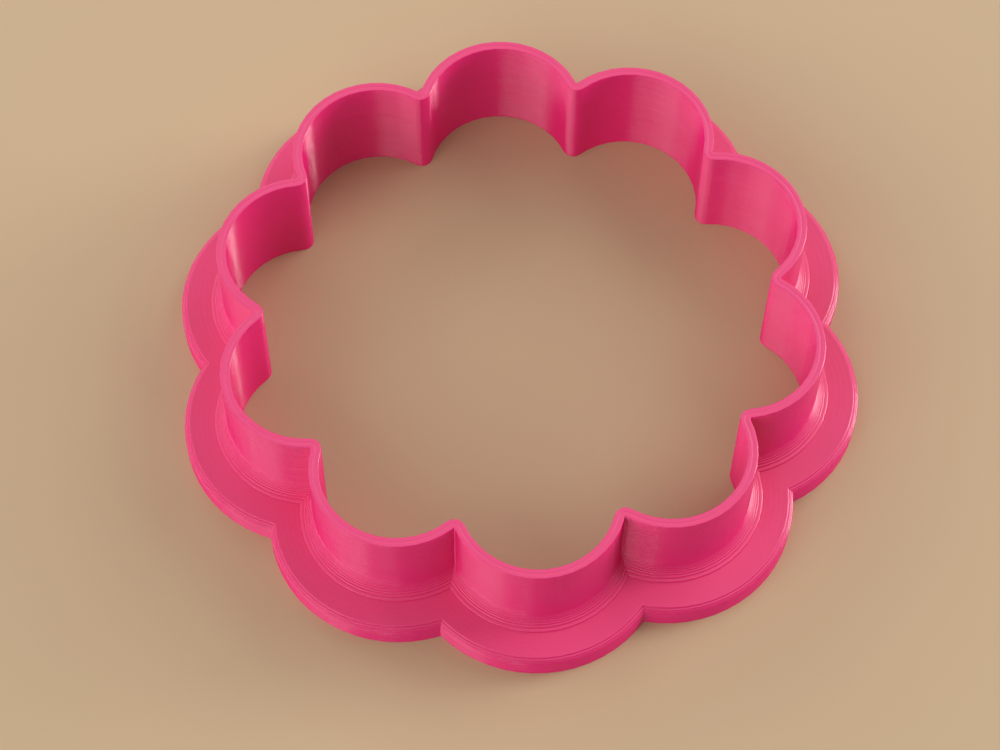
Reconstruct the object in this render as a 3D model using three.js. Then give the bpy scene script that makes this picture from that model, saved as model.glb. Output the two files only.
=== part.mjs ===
// Fluted cookie cutter: a ring of round lobes, printed standing on its grip flange with the cutting rim up.
// Millimetres, +Z up. The origin is the middle of the underside, and one lobe points along +X.

import * as THREE from "three";

// The cookie, which is the inner face of the wall
const LOBE_COUNT = 10;
const COOKIE_WIDTH = 70; // from one lobe's crown to the opposite lobe's crown
const FLUTE_DEPTH = 5.35; // from the crowns in to the noses between two lobes
const NOSE_RADIUS = 1.3;
const NOTCH_RADIUS = 0.3; // least rounding of the notches between two lobes on the outer faces

// The wall and its cutting rim
const OVERALL_HEIGHT = 14.6;
const WALL_THICKNESS = 1.2;
const RIM_HEIGHT = 1.2;
const RIM_ROUNDING = 0.25; // both shoulders of the rim

// The flange that the hand presses on
const FLANGE_REACH = 5.2; // beyond the outer face of the wall
const FLANGE_THICKNESS = 3.2;
const FLANGE_ROUNDING = 1; // upper outer edge
const ROOT_FILLET = 2.2; // between the top of the flange and the outer face of the wall

// Facets
const LOBE_STEPS = 16;
const CORNER_STEPS = 4;
const FLANGE_HALF_STEPS = 2; // half the steps of each rounding on the flange
const RIM_HALF_STEPS = 1; // half the steps of each shoulder of the rim
const STRAIGHT_HALF_STEPS = 1; // a section with no rounding

// The lobes are arcs through the crowns, centred on one circle and tangent to the noses between them
const HALF_PITCH = Math.PI / LOBE_COUNT;
const CROWN_RADIUS = COOKIE_WIDTH / 2;
const NOSE_CIRCLE_RADIUS = CROWN_RADIUS - FLUTE_DEPTH + NOSE_RADIUS;
const NOSE_ALONG_LOBE = NOSE_CIRCLE_RADIUS * Math.cos(HALF_PITCH);
const CENTRES_SUM = CROWN_RADIUS + NOSE_RADIUS; // from the axis to a lobe's centre and on to a nose's
const LOBE_CIRCLE_RADIUS = (CENTRES_SUM ** 2 - NOSE_CIRCLE_RADIUS ** 2) / (2 * (CENTRES_SUM - NOSE_ALONG_LOBE));
const LOBE_RADIUS = CROWN_RADIUS - LOBE_CIRCLE_RADIUS;

// Heights at which one section of the ring stands on the next
const WALL_FOOT = FLANGE_THICKNESS + ROOT_FILLET;
const RIM_FOOT = OVERALL_HEIGHT - RIM_HEIGHT;

const PLASTIC = { color: 0xdb3f70, roughness: 0.32, metalness: 0 };

function arcPoints(centreRadius, centreAngle, radius, start, end, clockwise, steps) {
  const x = centreRadius * Math.cos(centreAngle);
  const y = centreRadius * Math.sin(centreAngle);
  return new THREE.ArcCurve(x, y, radius, start, end, clockwise).getPoints(steps);
}

// The cookie's outline moved outwards by an offset: a lobe arc, then a small arc tangent to it and to the next lobe.
function lobedOutline(offset) {
  const lobeRadius = LOBE_RADIUS + offset;
  const cornerRadius = Math.max(NOSE_RADIUS - offset, NOTCH_RADIUS);
  const halfGap = LOBE_CIRCLE_RADIUS * Math.sin(HALF_PITCH);
  const outward = Math.sqrt((lobeRadius + cornerRadius) ** 2 - halfGap ** 2);
  const cornerCircleRadius = LOBE_CIRCLE_RADIUS * Math.cos(HALF_PITCH) + outward;
  const lobeSweep = HALF_PITCH + Math.atan2(halfGap, outward);
  const points = [];
  for (let lobe = 0; lobe < LOBE_COUNT; lobe++) {
    const axis = 2 * HALF_PITCH * lobe;
    const nextAxis = axis + 2 * HALF_PITCH;
    const lobeArc = [axis - lobeSweep, axis + lobeSweep, false, LOBE_STEPS];
    points.push(...arcPoints(LOBE_CIRCLE_RADIUS, axis, lobeRadius, ...lobeArc));
    const cornerArc = [axis + lobeSweep + Math.PI, nextAxis - lobeSweep + Math.PI, true, CORNER_STEPS];
    const corner = arcPoints(cornerCircleRadius, axis + HALF_PITCH, cornerRadius, ...cornerArc);
    points.push(...corner.slice(1, -1));
  }
  return points;
}

// A closed ring: each point of the section, as offset from the inner face and height, is carried round the lobes.
function lobedRing(section, halfSteps) {
  const loops = section.getPoints(halfSteps).map((point) => ({
    outline: lobedOutline(point.x),
    height: point.y,
  }));
  const around = loops[0].outline.length;
  const positions = loops.flatMap(({ outline, height }) => outline.flatMap((point) => [point.x, point.y, height]));
  const index = [];
  for (let loop = 0; loop < loops.length; loop++) {
    const here = loop * around;
    const above = ((loop + 1) % loops.length) * around;
    for (let step = 0; step < around; step++) {
      const next = (step + 1) % around;
      index.push(here + step, here + next, above + next);
      index.push(here + step, above + next, above + step);
    }
  }
  const geometry = new THREE.BufferGeometry();
  geometry.setAttribute("position", new THREE.Float32BufferAttribute(positions, 3));
  geometry.setIndex(index);
  geometry.computeVertexNormals();
  return geometry;
}

// Flat underside, rounded upper edge, and the fillet that rises to the foot of the wall.
function flangeSection() {
  const edge = WALL_THICKNESS + FLANGE_REACH;
  const roundingCentre = [edge - FLANGE_ROUNDING, FLANGE_THICKNESS - FLANGE_ROUNDING];
  const filletCentre = [WALL_THICKNESS + ROOT_FILLET, FLANGE_THICKNESS + ROOT_FILLET];
  const section = new THREE.Path();
  section.moveTo(0, 0);
  section.lineTo(edge, 0);
  section.absarc(...roundingCentre, FLANGE_ROUNDING, 0, Math.PI / 2, false);
  section.absarc(...filletCentre, ROOT_FILLET, -Math.PI / 2, Math.PI, true);
  section.lineTo(0, WALL_FOOT);
  return section;
}

function wallSection() {
  const section = new THREE.Path();
  section.moveTo(0, WALL_FOOT);
  section.lineTo(WALL_THICKNESS, WALL_FOOT);
  section.lineTo(WALL_THICKNESS, RIM_FOOT);
  section.lineTo(0, RIM_FOOT);
  return section;
}

// Flat land between two rounded shoulders.
function rimSection() {
  const shoulderHeight = OVERALL_HEIGHT - RIM_ROUNDING;
  const section = new THREE.Path();
  section.moveTo(0, RIM_FOOT);
  section.lineTo(WALL_THICKNESS, RIM_FOOT);
  section.absarc(WALL_THICKNESS - RIM_ROUNDING, shoulderHeight, RIM_ROUNDING, 0, Math.PI / 2, false);
  section.absarc(RIM_ROUNDING, shoulderHeight, RIM_ROUNDING, Math.PI / 2, Math.PI, false);
  return section;
}

function ringMesh(name, section, halfSteps) {
  const mesh = new THREE.Mesh(lobedRing(section, halfSteps), new THREE.MeshStandardMaterial(PLASTIC));
  mesh.name = name;
  return mesh;
}

const cutter = new THREE.Group();
cutter.name = "fluted_cookie_cutter";
cutter.add(ringMesh("grip_flange", flangeSection(), FLANGE_HALF_STEPS));
cutter.add(ringMesh("fluted_wall", wallSection(), STRAIGHT_HALF_STEPS));
cutter.add(ringMesh("cutting_rim", rimSection(), RIM_HALF_STEPS));

export default cutter;
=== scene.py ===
"""Fluted cookie cutter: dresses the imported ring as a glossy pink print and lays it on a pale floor.

Every printed layer and line is modelled: a section of rounded lines is carried round half a lobe, and
that half is mirrored and repeated. Lengths are in metres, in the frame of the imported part.
"""

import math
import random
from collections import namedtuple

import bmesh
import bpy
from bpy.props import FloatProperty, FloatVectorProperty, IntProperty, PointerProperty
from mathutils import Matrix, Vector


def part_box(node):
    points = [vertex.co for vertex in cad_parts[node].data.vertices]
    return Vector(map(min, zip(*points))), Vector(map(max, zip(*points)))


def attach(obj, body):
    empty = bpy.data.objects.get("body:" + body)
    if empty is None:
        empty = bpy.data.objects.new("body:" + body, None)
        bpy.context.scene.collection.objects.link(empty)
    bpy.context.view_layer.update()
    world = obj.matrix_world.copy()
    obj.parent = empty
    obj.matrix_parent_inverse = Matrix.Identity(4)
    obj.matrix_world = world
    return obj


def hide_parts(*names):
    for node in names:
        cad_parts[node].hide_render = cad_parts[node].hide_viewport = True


bl_info = {
    "name": "Fluted cookie cutter",
    "version": (1, 0, 0),
    "blender": (4, 5, 0),
    "location": "3D View > Sidebar > Cutter",
    "description": "Builds a printed fluted cookie cutter, its finish and its studio",
    "category": "Add Mesh",
}

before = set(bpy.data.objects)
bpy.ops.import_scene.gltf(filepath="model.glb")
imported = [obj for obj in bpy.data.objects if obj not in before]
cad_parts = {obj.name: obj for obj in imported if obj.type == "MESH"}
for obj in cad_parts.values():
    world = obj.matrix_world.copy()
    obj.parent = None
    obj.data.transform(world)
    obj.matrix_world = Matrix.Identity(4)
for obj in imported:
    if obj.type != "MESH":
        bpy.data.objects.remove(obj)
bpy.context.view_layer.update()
FLANGE_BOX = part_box("grip_flange")
WALL_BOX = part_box("fluted_wall")
RIM_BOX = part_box("cutting_rim")

MM = 0.001
UP = Vector((0, 0, 1))
WHITE = (1, 1, 1, 1)
BODY = "root"

# Facets of the printed ring
LOBE_STEPS = 8
CORNER_STEPS = 2
LINE_SHARES = (-1, -0.5, 0, 0.5, 1)  # of the turn from a line's crest to the valley beside it
MERGE_DISTANCE = 1e-6

# Edges are shaded smooth up to these angles, in the valleys between lines and elsewhere
VALLEY_ANGLE = math.radians(20)
EDGE_ANGLE = math.radians(45)

# Faces count as tops of lines where their normal rises at least this far; tops get satin roughness and a
# paler colour, which is painted sheen
TOP_LAYER = "top"
TOP_FACING = 0.94

# Noise in the plastic: streaks along the layers, and upright ripples
STREAKS_PER_METRE = 60
STREAK_DETAIL = 3
RIPPLE_DETAIL = 1

# The studio: each softbox has its turn and rise in degrees, its width and height in metres as seen from
# the cutter, and the light that it throws there in watts per square metre
FLOOR_REACH = 3
LIGHT_DISTANCE = 1
Softbox = namedtuple("Softbox", "turn rise width height strength")
SOFTBOXES = {
    "left": Softbox(turn=207, rise=18, width=2, height=0.5, strength=2.3),
    "left_front": Softbox(turn=247, rise=40, width=1, height=0.5, strength=1.05),
    "right": Softbox(turn=30, rise=14, width=0.36, height=0.4, strength=1.85),
    "right_high": Softbox(turn=45, rise=40, width=0.9, height=0.5, strength=1.2),
    "back_left": Softbox(turn=135, rise=25, width=0.8, height=0.6, strength=0.8),
}

# The photograph's frame, in pixels, and the camera's sensor, in millimetres
FRAME_WIDTH = 1000
SENSOR_WIDTH = 36


def length(name, description, default):
    return FloatProperty(
        name=name, description=description, default=default, precision=5, subtype="DISTANCE", unit="LENGTH"
    )


def angle(name, description, degrees):
    return FloatProperty(
        name=name, description=description, default=math.radians(degrees), subtype="ANGLE", unit="ROTATION"
    )


def share(name, description, default):
    return FloatProperty(
        name=name, description=description, default=default, min=0, max=1, subtype="FACTOR"
    )


def colour(name, description, default):
    return FloatVectorProperty(
        name=name, description=description, default=default, size=3, min=0, max=1, subtype="COLOR"
    )


def place(name, description, default):
    return FloatVectorProperty(
        name=name, description=description, default=default, size=3, subtype="TRANSLATION", unit="LENGTH"
    )


class CutterSizes(bpy.types.PropertyGroup):
    """Sizes of the ring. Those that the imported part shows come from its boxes."""

    lobe_count: IntProperty(name="Lobes", description="Round lobes in the ring", default=10, min=3)
    wall_thickness: length("Wall", "From the inner face of the wall to its outer face", 1.2 * MM)
    flute_depth: length("Flute depth", "From the crowns in to the noses between lobes", 5.35 * MM)
    wall_crown: length("Wall crown", "From the axis to the outer face at a crown", WALL_BOX[1].x)
    flange_crown: length("Flange crown", "From the axis to the edge at a crown", FLANGE_BOX[1].x)
    wall_foot: length("Wall foot", "Height at which the flange ends and the wall starts", WALL_BOX[0].z)
    rim_foot: length("Rim foot", "Height at which the wall ends and the rim starts", RIM_BOX[0].z)
    height: length("Height", "From the table to the top of the rim", RIM_BOX[1].z)
    root_fillet: length("Root fillet", "Between the flange's top and the wall", 2.2 * MM)
    flange_rounding: length("Flange rounding", "Upper outer edge of the flange", 1 * MM)
    nose_radius: length("Nose radius", "Rounding of the noses between lobes, inside", 1.3 * MM)
    notch_radius: length("Notch radius", "Least rounding of the notches outside", 0.12 * MM)


class CutterPrint(bpy.types.PropertyGroup):
    """How the ring was printed."""

    layer_height: length("Layer height", "Height of one printed layer", 0.2 * MM)
    line_width: length("Line width", "Width of one printed line on a flat top", 0.6 * MM)
    layer_bulge: angle("Layer bulge", "Turn of a layer's side from its crest to the valley", 80)
    top_bulge: angle("Top bulge", "Turn of a line on the flange from its crest to the valley", 2.5)
    rim_bulge: angle("Rim bulge", "Turn of a line on the rim from its crest to the valley", 25)
    wander: length("Wander", "How far a layer may lie inside its neighbours", 0.012 * MM)
    seed: IntProperty(name="Seed", description="Start of the random wander", default=7)


class CutterFinish(bpy.types.PropertyGroup):
    """Colours and gloss of the plastic."""

    pink: colour("Pink", "Sides of the layers", (0.88, 0.0145, 0.197))
    deep_pink: colour("Deep pink", "Streaks along the layers", (0.78, 0.01, 0.155))
    # Painted sheen: a paler pink for the faces that face up
    painted_sheen_pink: colour("Top pink", "Tops of the lines, paler by their satin bloom", (0.87, 0.059, 0.213))
    specular: share("Specular", "Strength of the mirrored light", 0.7)
    roughness: share("Roughness", "Of the glossy sides", 0.15)
    streak_roughness: share("Streak roughness", "What the streaks add on the sides", 0.08)
    top_roughness: share("Top roughness", "Of the satin tops", 0.5)
    ripple_height: length("Ripple height", "Height of the upright ripples in the walls", 0.012 * MM)
    ripple_pitch: length("Ripple pitch", "Distance between the upright ripples", 1.6 * MM)


class CutterStage(bpy.types.PropertyGroup):
    """Floor, light and camera."""

    floor: colour("Floor", "Colour of the floor", (0.6, 0.43, 0.26))
    floor_roughness: share("Floor roughness", "Of the floor", 0.6)
    sky: FloatProperty(name="Sky", description="Strength of the light from all around", default=0.22)
    view_target: place("View target", "Point it looks at, before the turn", (-2 * MM, -2.675 * MM, 0))
    view_turn: angle("View turn", "Turn of the camera round the ring", 12.78)
    view_height: angle("View height", "Height of the camera above the horizon", 61.38)
    view_roll: angle("View roll", "Roll of the camera", 0.8)
    view_distance: length("View distance", "From the camera to the point it looks at", 313.9 * MM)
    focal_pixels: FloatProperty(name="Focal length", description="In pixels of the frame", default=2600)


def line_bulges(start, end, width, bulge):
    """Yields (distance along, depth below the crests) over the printed lines between two ends."""
    count = max(1, round(abs(end - start) / width))
    pitch = (end - start) / count
    radius = pitch / 2 / math.sin(bulge)
    for line in range(count):
        middle = start + pitch * (line + 0.5)
        for share_of_turn in LINE_SHARES[:-1]:
            turn = bulge * share_of_turn
            yield middle + radius * math.sin(turn), abs(radius) * (1 - math.cos(turn))
    yield end, abs(radius) * (1 - math.cos(bulge))


def layers_up(printing, low, high, face, outward, draw):
    """Points up an upright face: a rounded line for each layer, at the offset that face(height) gives."""
    count = round((high - low) / printing.layer_height)
    radius = printing.layer_height / 2 / math.sin(printing.layer_bulge)
    points = []
    for layer in range(count):
        middle = low + printing.layer_height * (layer + 0.5)
        crest = face(middle) - outward * draw.uniform(0, printing.wander)
        for share_of_turn in LINE_SHARES:
            turn = printing.layer_bulge * share_of_turn
            inset = radius * (1 - math.cos(turn))
            points.append((crest - outward * inset, middle + radius * math.sin(turn)))
    return points


def half_lobe(bm, sizes, offset, height):
    """Draws half a lobe, from its crown on +X to the corner it shares with the next; returns its edges.

    The lobes are arcs through the crowns, centred on one circle and tangent to the noses between them.
    """
    half_pitch = math.pi / sizes.lobe_count
    crown = sizes.wall_crown - sizes.wall_thickness
    centres_sum = crown + sizes.nose_radius
    nose = centres_sum - sizes.flute_depth
    centre = (centres_sum**2 - nose**2) / (2 * (centres_sum - nose * math.cos(half_pitch)))
    radius = crown - centre + offset
    corner_radius = max(sizes.nose_radius - offset, sizes.notch_radius)
    half_gap = centre * math.sin(half_pitch)
    outward = math.sqrt((radius + corner_radius) ** 2 - half_gap**2)
    corner_distance = centre * math.cos(half_pitch) + outward
    corner = Vector((math.cos(half_pitch), math.sin(half_pitch), 0)) * corner_distance
    sweep = half_pitch + math.atan2(half_gap, outward)
    before = len(bm.edges)
    start = bm.verts.new((centre + radius, 0, height))
    arc = bmesh.ops.spin(bm, geom=[start], cent=(centre, 0, 0), axis=UP, angle=sweep, steps=LOBE_STEPS)
    last = arc["geom_last"]
    bmesh.ops.spin(bm, geom=last, cent=corner, axis=UP, angle=half_pitch - sweep, steps=CORNER_STEPS)
    bm.edges.ensure_lookup_table()
    return bm.edges[before:]


def lobed_ring(name, sizes, section):
    """A closed ring: its section, as (offset from the inner face, height), is carried round the lobes."""
    bm = bmesh.new()
    arcs = [half_lobe(bm, sizes, offset, height) for offset, height in section]
    for arc, following in zip(arcs, arcs[1:] + arcs[:1]):
        bmesh.ops.bridge_loops(bm, edges=[*arc, *following])
    half = [*bm.verts, *bm.edges, *bm.faces]
    bmesh.ops.mirror(bm, geom=half, matrix=Matrix.Identity(4), axis="Y", merge_dist=MERGE_DISTANCE)
    lobe = [*bm.verts, *bm.edges, *bm.faces]
    for copy in range(1, sizes.lobe_count):
        made = bmesh.ops.duplicate(bm, geom=lobe)["geom"]
        verts = [item for item in made if isinstance(item, bmesh.types.BMVert)]
        turn = Matrix.Rotation(math.tau * copy / sizes.lobe_count, 3, "Z")
        bmesh.ops.rotate(bm, verts=verts, cent=(0, 0, 0), matrix=turn)
    bmesh.ops.remove_doubles(bm, verts=bm.verts, dist=MERGE_DISTANCE)
    bmesh.ops.recalc_face_normals(bm, faces=bm.faces)
    tops = bm.faces.layers.float.new(TOP_LAYER)
    for face in bm.faces:
        face.smooth = True
        face[tops] = face.normal.z > TOP_FACING
    for edge in bm.edges:
        limit = EDGE_ANGLE if edge.is_convex else VALLEY_ANGLE
        edge.smooth = edge.calc_face_angle(0) < limit
    mesh = bpy.data.meshes.new(name)
    bm.to_mesh(mesh)
    bm.free()
    piece = bpy.data.objects.new(name, mesh)
    bpy.context.collection.objects.link(piece)
    return piece


def dress(piece, node):
    """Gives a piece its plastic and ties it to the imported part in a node's place."""
    piece.data.materials.append(printed_plastic())
    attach(piece, BODY)
    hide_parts(node)


def stretched_noise(tree, scale, detail):
    """Noise on the piece's own coordinates, with a scale along each axis."""
    coords = tree.nodes.new("ShaderNodeTexCoord")
    mapping = tree.nodes.new("ShaderNodeMapping")
    mapping.inputs["Scale"].default_value = scale
    tree.links.new(coords.outputs["Object"], mapping.inputs["Vector"])
    noise = tree.nodes.new("ShaderNodeTexNoise")
    noise.inputs["Scale"].default_value = 1
    noise.inputs["Detail"].default_value = detail
    tree.links.new(mapping.outputs["Vector"], noise.inputs["Vector"])
    return noise.outputs["Fac"]


def plastic_colour(tree, finish, streaks, is_top):
    """Pink sides with deeper streaks, and tops whose paler colour is painted sheen."""
    sides = tree.nodes.new("ShaderNodeMix")
    sides.data_type = "RGBA"
    sides.inputs["A"].default_value = (*finish.pink, 1)
    sides.inputs["B"].default_value = (*finish.deep_pink, 1)
    tree.links.new(streaks, sides.inputs["Factor"])
    painted_sheen = tree.nodes.new("ShaderNodeMix")
    painted_sheen.data_type = "RGBA"
    # Up-facing tops are made paler: painted sheen
    painted_sheen.inputs["B"].default_value = (*finish.painted_sheen_pink, 1)
    tree.links.new(is_top, painted_sheen.inputs["Factor"])
    tree.links.new(sides.outputs["Result"], painted_sheen.inputs["A"])
    return painted_sheen.outputs["Result"]


def plastic_roughness(tree, finish, streaks, is_top):
    """Glossy sides with duller streaks, and satin tops."""
    sides = tree.nodes.new("ShaderNodeMapRange")
    sides.inputs["To Min"].default_value = finish.roughness
    sides.inputs["To Max"].default_value = finish.roughness + finish.streak_roughness
    tree.links.new(streaks, sides.inputs["Value"])
    satin = tree.nodes.new("ShaderNodeMix")
    satin.inputs["B"].default_value = finish.top_roughness
    tree.links.new(is_top, satin.inputs["Factor"])
    tree.links.new(sides.outputs["Result"], satin.inputs["A"])
    return satin.outputs["Result"]


def plastic_ripples(tree, finish):
    """Shallow upright ripples in the walls."""
    per_metre = 1 / finish.ripple_pitch
    ripples = stretched_noise(tree, (per_metre, per_metre, 0), RIPPLE_DETAIL)
    bump = tree.nodes.new("ShaderNodeBump")
    bump.inputs["Distance"].default_value = finish.ripple_height
    tree.links.new(ripples, bump.inputs["Height"])
    return bump.outputs["Normal"]


def printed_plastic():
    """Pink plastic whose tone and gloss vary in thin streaks along the layers, with painted sheen on the
    up-facing tops.
    """
    name = "pink_print"
    if name in bpy.data.materials:
        return bpy.data.materials[name]
    finish, printing = bpy.context.scene.cutter_finish, bpy.context.scene.cutter_print
    material = bpy.data.materials.new(name)
    material.use_nodes = True
    tree = material.node_tree
    across_layers = 1 / printing.layer_height
    streaks = stretched_noise(tree, (STREAKS_PER_METRE, STREAKS_PER_METRE, across_layers), STREAK_DETAIL)
    top = tree.nodes.new("ShaderNodeAttribute")
    top.attribute_name = TOP_LAYER
    is_top = top.outputs["Fac"]
    shader = tree.nodes["Principled BSDF"]
    shader.inputs["Specular IOR Level"].default_value = finish.specular
    tree.links.new(plastic_colour(tree, finish, streaks, is_top), shader.inputs["Base Color"])
    tree.links.new(plastic_roughness(tree, finish, streaks, is_top), shader.inputs["Roughness"])
    tree.links.new(plastic_ripples(tree, finish), shader.inputs["Normal"])
    return material


class CUTTER_OT_flange(bpy.types.Operator):
    """Builds the scalloped grip flange and the stepped fillet at the root of the wall"""

    bl_idname = "cutter.flange"
    bl_label = "Grip flange"

    def execute(self, context):
        sizes, printing = context.scene.cutter_sizes, context.scene.cutter_print
        draw = random.Random(printing.seed)
        edge = sizes.wall_thickness + sizes.flange_crown - sizes.wall_crown
        top = sizes.wall_foot - sizes.root_fillet

        def side(height):
            above = max(0, height - top + sizes.flange_rounding)
            return edge - sizes.flange_rounding + math.sqrt(sizes.flange_rounding**2 - above**2)

        def root(height):
            below = sizes.wall_foot - height
            return sizes.wall_thickness + sizes.root_fillet - math.sqrt(sizes.root_fillet**2 - below**2)

        outside = layers_up(printing, 0, top, side, 1, draw)
        steps = layers_up(printing, top, sizes.wall_foot, root, 1, draw)
        inside = layers_up(printing, 0, sizes.wall_foot, lambda height: 0, -1, draw)
        flat = line_bulges(outside[-1][0], steps[0][0], printing.line_width, printing.top_bulge)
        lines = [(offset, top - depth) for offset, depth in flat]
        section = outside + lines[1:-1] + steps + inside[::-1]
        dress(lobed_ring("printed_flange", sizes, section), "grip_flange")
        return {"FINISHED"}


class CUTTER_OT_wall(bpy.types.Operator):
    """Builds the upright wall, layer by layer"""

    bl_idname = "cutter.wall"
    bl_label = "Fluted wall"

    def execute(self, context):
        sizes, printing = context.scene.cutter_sizes, context.scene.cutter_print
        draw = random.Random(printing.seed + 1)
        span = (sizes.wall_foot, sizes.rim_foot)
        outside = layers_up(printing, *span, lambda height: sizes.wall_thickness, 1, draw)
        inside = layers_up(printing, *span, lambda height: 0, -1, draw)
        dress(lobed_ring("printed_wall", sizes, outside + inside[::-1]), "fluted_wall")
        return {"FINISHED"}


class CUTTER_OT_rim(bpy.types.Operator):
    """Builds the cutting rim, with two printed lines side by side on its top"""

    bl_idname = "cutter.rim"
    bl_label = "Cutting rim"

    def execute(self, context):
        sizes, printing = context.scene.cutter_sizes, context.scene.cutter_print
        draw = random.Random(printing.seed + 2)
        span = (sizes.rim_foot, sizes.height)
        outside = layers_up(printing, *span, lambda height: sizes.wall_thickness, 1, draw)
        inside = layers_up(printing, *span, lambda height: 0, -1, draw)
        across = line_bulges(outside[-1][0], inside[-1][0], printing.line_width, printing.rim_bulge)
        lines = [(offset, sizes.height - depth) for offset, depth in across]
        section = outside + lines[1:-1] + inside[::-1]
        dress(lobed_ring("printed_rim", sizes, section), "cutting_rim")
        return {"FINISHED"}


class CUTTER_OT_stage(bpy.types.Operator):
    """Lays the floor, hangs the lights and sets the camera at the photograph's angle"""

    bl_idname = "cutter.stage"
    bl_label = "Studio"

    def execute(self, context):
        stage = context.scene.cutter_stage
        self.lay_floor(context, stage)
        self.light_sky(context, stage)
        for name, box in SOFTBOXES.items():
            self.hang_softbox(context, name, box)
        self.set_camera(context, stage)
        context.scene.view_settings.view_transform = "Standard"
        return {"FINISHED"}

    def lay_floor(self, context, stage):
        bm = bmesh.new()
        bmesh.ops.create_grid(bm, x_segments=1, y_segments=1, size=FLOOR_REACH)
        mesh = bpy.data.meshes.new("floor")
        bm.to_mesh(mesh)
        bm.free()
        floor = bpy.data.objects.new("floor", mesh)
        context.collection.objects.link(floor)
        paint = bpy.data.materials.new("floor_paint")
        paint.use_nodes = True
        shader = paint.node_tree.nodes["Principled BSDF"]
        shader.inputs["Base Color"].default_value = (*stage.floor, 1)
        shader.inputs["Roughness"].default_value = stage.floor_roughness
        mesh.materials.append(paint)

    def light_sky(self, context, stage):
        world = bpy.data.worlds.new("studio")
        world.use_nodes = True
        background = world.node_tree.nodes["Background"]
        background.inputs["Color"].default_value = WHITE
        background.inputs["Strength"].default_value = stage.sky
        context.scene.world = world

    def hang_softbox(self, context, name, box):
        light = bpy.data.lights.new(name, "AREA")
        light.shape = "RECTANGLE"
        light.size = box.width
        light.size_y = box.height
        light.energy = box.strength * math.pi * LIGHT_DISTANCE**2
        lamp = bpy.data.objects.new(name, light)
        turn, rise = math.radians(box.turn), math.radians(box.rise)
        across = math.cos(rise)
        toward = Vector((across * math.cos(turn), across * math.sin(turn), math.sin(rise)))
        lamp.location = toward * LIGHT_DISTANCE
        lamp.rotation_euler = toward.to_track_quat("Z", "Y").to_euler()
        context.collection.objects.link(lamp)

    def set_camera(self, context, stage):
        lens = bpy.data.cameras.new("camera")
        lens.sensor_width = SENSOR_WIDTH
        lens.lens = stage.focal_pixels * SENSOR_WIDTH / FRAME_WIDTH
        camera = bpy.data.objects.new("camera", lens)
        context.collection.objects.link(camera)
        turn = Matrix.Rotation(stage.view_turn, 3, "Z")
        tilt = Matrix.Rotation(math.pi / 2 - stage.view_height, 3, "X")
        facing = turn @ tilt @ Matrix.Rotation(stage.view_roll, 3, "Z")
        eye = turn @ stage.view_target + facing.col[2] * stage.view_distance
        camera.matrix_world = Matrix.Translation(eye) @ facing.to_4x4()
        context.scene.camera = camera


class CUTTER_PT_panel(bpy.types.Panel):
    """Lists the sizes, the finish and the steps of the cutter"""

    bl_idname = "CUTTER_PT_panel"
    bl_label = "Fluted cookie cutter"
    bl_space_type = "VIEW_3D"
    bl_region_type = "UI"
    bl_category = "Cutter"

    def draw(self, context):
        for group in GROUPS:
            box = self.layout.box()
            settings = getattr(context.scene, group)
            for name in settings.__annotations__:
                box.prop(settings, name)
        for operator in OPERATORS:
            self.layout.operator(operator.bl_idname)


GROUPS = {
    "cutter_sizes": CutterSizes,
    "cutter_print": CutterPrint,
    "cutter_finish": CutterFinish,
    "cutter_stage": CutterStage,
}
OPERATORS = (CUTTER_OT_flange, CUTTER_OT_wall, CUTTER_OT_rim, CUTTER_OT_stage)


def register():
    for group, kind in GROUPS.items():
        bpy.utils.register_class(kind)
        setattr(bpy.types.Scene, group, PointerProperty(type=kind))
    for kind in (*OPERATORS, CUTTER_PT_panel):
        bpy.utils.register_class(kind)


def unregister():
    for kind in (CUTTER_PT_panel, *reversed(OPERATORS)):
        bpy.utils.unregister_class(kind)
    for group, kind in reversed(GROUPS.items()):
        delattr(bpy.types.Scene, group)
        bpy.utils.unregister_class(kind)


def main():
    register()
    bpy.ops.cutter.flange()
    bpy.ops.cutter.wall()
    bpy.ops.cutter.rim()
    bpy.ops.cutter.stage()


if __name__ == "__main__":
    main()
